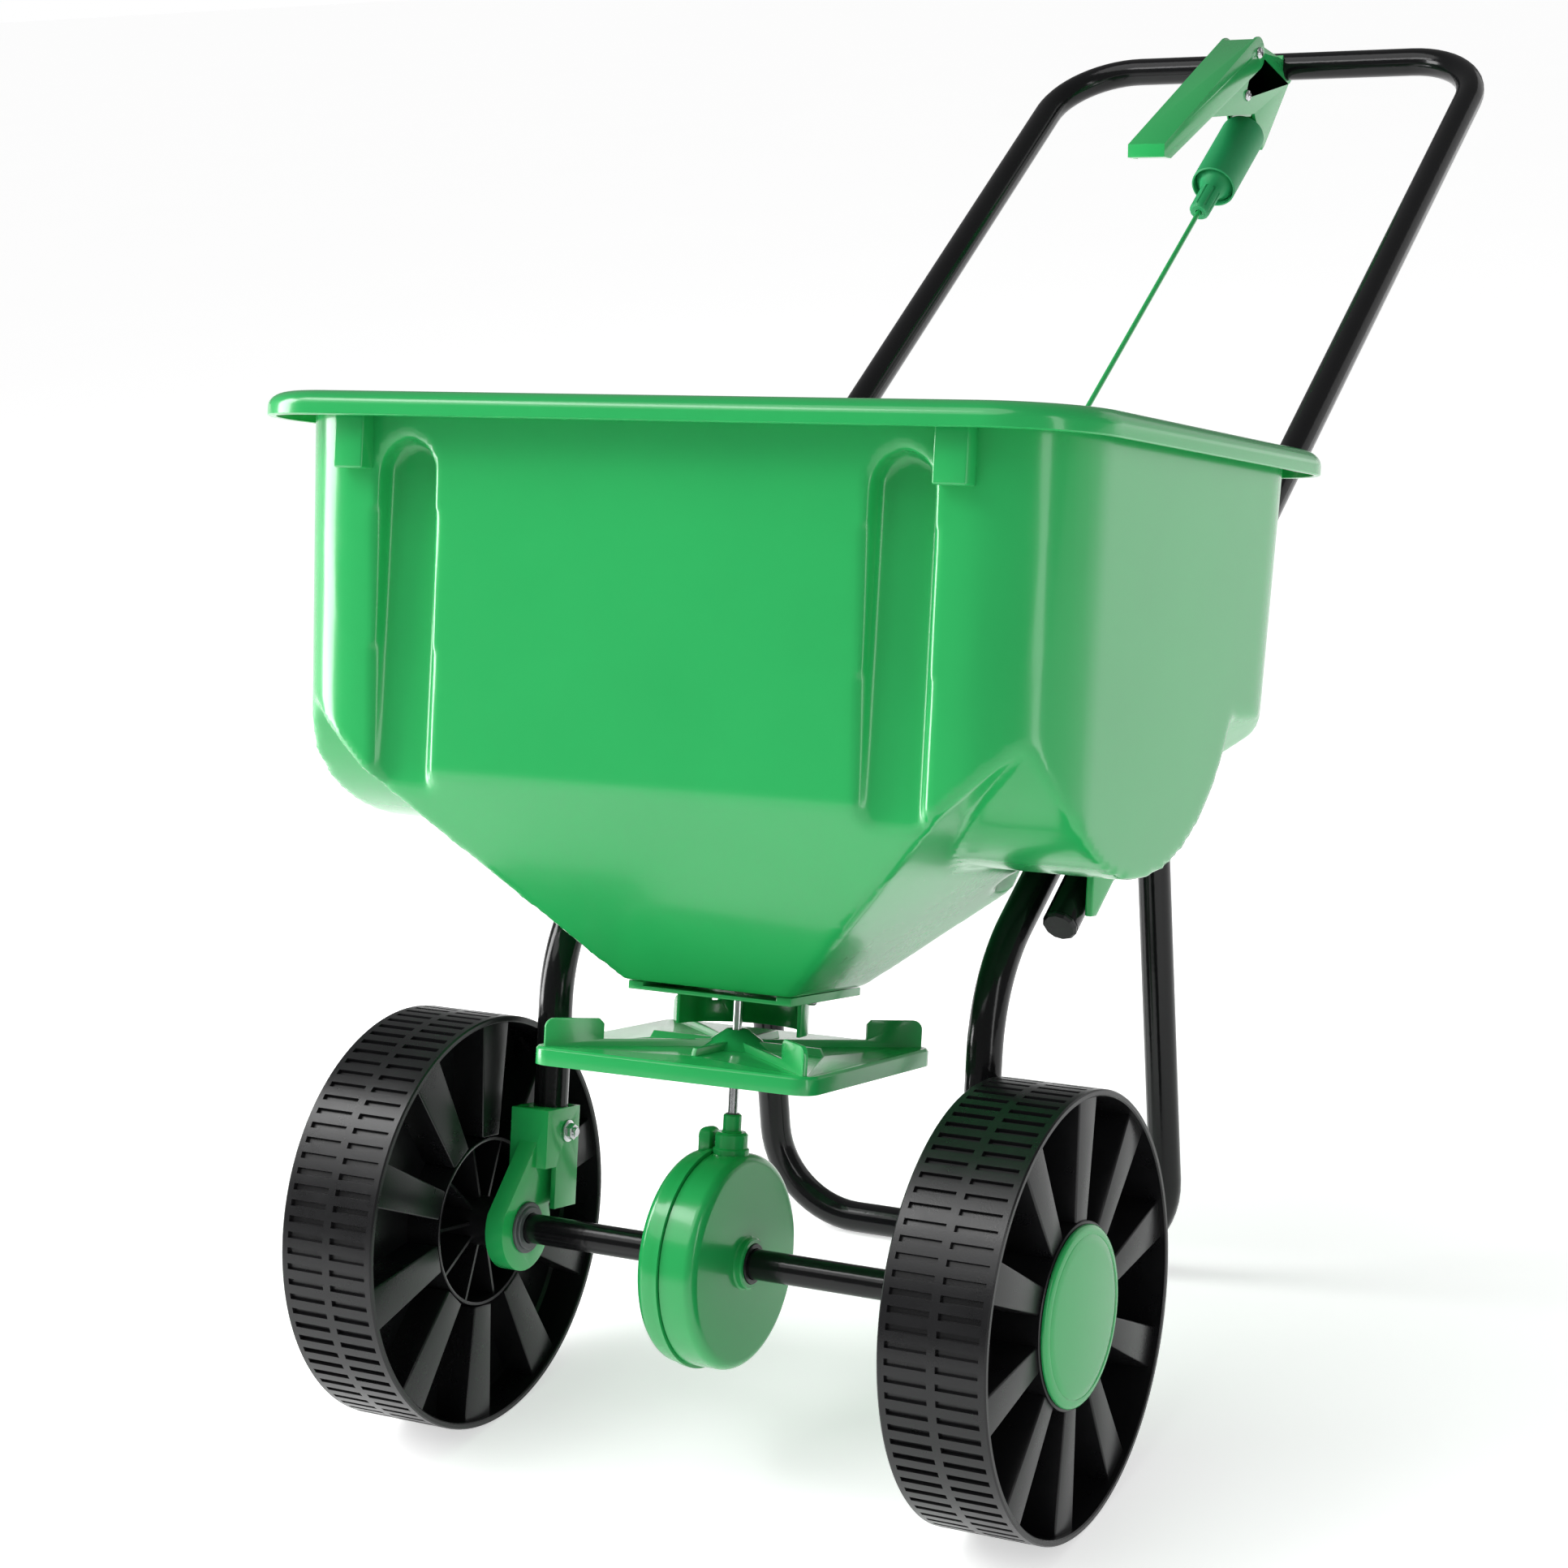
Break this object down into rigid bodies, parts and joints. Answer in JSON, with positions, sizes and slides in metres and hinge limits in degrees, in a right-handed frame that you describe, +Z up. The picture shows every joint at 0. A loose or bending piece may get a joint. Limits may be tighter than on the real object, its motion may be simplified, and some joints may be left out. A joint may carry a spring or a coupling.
{
  "type": "garden_spreader",
  "caption": "Push broadcast spreader with a plastic hopper, tube frame, two wheels, gear-driven impeller and a hand lever that opens the drop ports",
  "frame": {"origin": "on the ground, under the middle of the object's outline seen from above", "axes": "+Z up, +Y backwards towards the operator, +X to the operator's left; the axle runs along X"},
  "size_m": [0.5608, 1.1744, 0.8076],
  "materials": {
    "green_plastic": "glossy injection-moulded polypropylene",
    "knob_plastic": "matt moulded plastic, a little bluer",
    "black_coat": "gloss black powder coat on steel tube",
    "black_plastic": "satin black moulded plastic",
    "zinc_steel": "zinc-plated steel",
    "grey_bush": "grey acetal",
    "nylon": "natural nylon"
  },
  "bodies": {
    "frame": {"axle_bracket_left": "green_plastic", "axle_bracket_right": "green_plastic", "axle_bush_left": "grey_bush", "axle_bush_right": "grey_bush", "bracket_bolt_left": "zinc_steel", "bracket_bolt_right": "zinc_steel", "bracket_nut_left": "zinc_steel", "bracket_nut_right": "zinc_steel", "bracket_screw": "zinc_steel", "chute_screw_left": "zinc_steel", "chute_screw_right": "zinc_steel", "control_bracket": "green_plastic", "drop_chute": "green_plastic", "floor_bearing": "grey_bush", "frame_bolt_left": "zinc_steel", "frame_bolt_right": "zinc_steel", "frame_nut_left": "zinc_steel", "frame_nut_right": "zinc_steel", "frame_spacer_left": "black_plastic", "frame_spacer_right": "black_plastic", "gearbox_body": "green_plastic", "gearbox_bush_left": "black_plastic", "gearbox_bush_right": "black_plastic", "gearbox_cover": "green_plastic", "gearbox_screw_rear": "zinc_steel", "gearbox_screw_top": "zinc_steel", "handle_plug_left": "black_plastic", "handle_plug_right": "black_plastic", "handle_tube": "black_coat", "hopper": "green_plastic", "leg_tube_left": "black_coat", "leg_tube_right": "black_coat", "lever_pivot_screw": "zinc_steel", "rate_nozzle": "knob_plastic", "shaft_bush": "grey_bush", "stand_bolt_left": "zinc_steel", "stand_bolt_right": "zinc_steel", "stand_nut_left": "zinc_steel", "stand_nut_right": "zinc_steel", "stand_spacer_left": "black_plastic", "stand_spacer_right": "black_plastic", "stand_tube": "black_coat"},
    "axle_set": {"axle": "black_coat", "drive_wheel": "black_plastic", "drive_hub_cap": "green_plastic", "wheel_pin": "zinc_steel", "wheel_clip": "zinc_steel", "crown_gear": "nylon", "gear_pin": "zinc_steel"},
    "free_wheel_set": {"free_wheel": "black_plastic", "free_hub_cap": "green_plastic"},
    "impeller_set": {"impeller_shaft": "zinc_steel", "pinion": "nylon", "impeller": "green_plastic", "impeller_pin": "zinc_steel", "agitator": "zinc_steel"},
    "lever": {"control_lever": "green_plastic"},
    "rod": {"control_rod": "green_plastic"},
    "shutoff": {"shutoff_plate": "green_plastic"},
    "sleeve": {"rate_sleeve": "knob_plastic"}
  },
  "joints": [
    {"name": "axle_spin", "type": "hinge", "parent": "frame", "child": "axle_set", "pos_m": [0, -0.45271, 0.1335], "axis": [1, 0, 0], "continuous": true},
    {"name": "free_wheel_spin", "type": "hinge", "parent": "frame", "child": "free_wheel_set", "pos_m": [-0.2, -0.45271, 0.1335], "axis": [1, 0, 0], "continuous": true},
    {"name": "impeller_spin", "type": "hinge", "parent": "frame", "child": "impeller_set", "pos_m": [0, -0.42064, 0.25948], "axis": [0, 0.2468, 0.9691], "continuous": true},
    {"name": "lever_hinge", "type": "hinge", "parent": "frame", "child": "lever", "pos_m": [0, 0.50091, 0.79463], "axis": [-1, 0, 0], "range_deg": [0, 32]},
    {"name": "rod_slide", "type": "slide", "parent": "frame", "child": "rod", "axis": [0, -0.8964, -0.4433], "range_m": [0, 0.033]},
    {"name": "shutoff_slide", "type": "slide", "parent": "frame", "child": "shutoff", "axis": [0, -0.9691, 0.2468], "range_m": [0, 0.025]},
    {"name": "sleeve_turn", "type": "hinge", "parent": "frame", "child": "sleeve", "pos_m": [0, 0.3889, 0.6757], "axis": [0, 0.8964, 0.4433], "range_deg": [-120, 120]}
  ],
  "couplings": [
    {"joint": "impeller_spin", "follows": "axle_spin", "ratio": 5.3333},
    {"joint": "rod_slide", "follows": "lever_hinge", "m_per_rad": 0.0585},
    {"joint": "shutoff_slide", "follows": "lever_hinge", "m_per_rad": 0.0444}
  ]
}
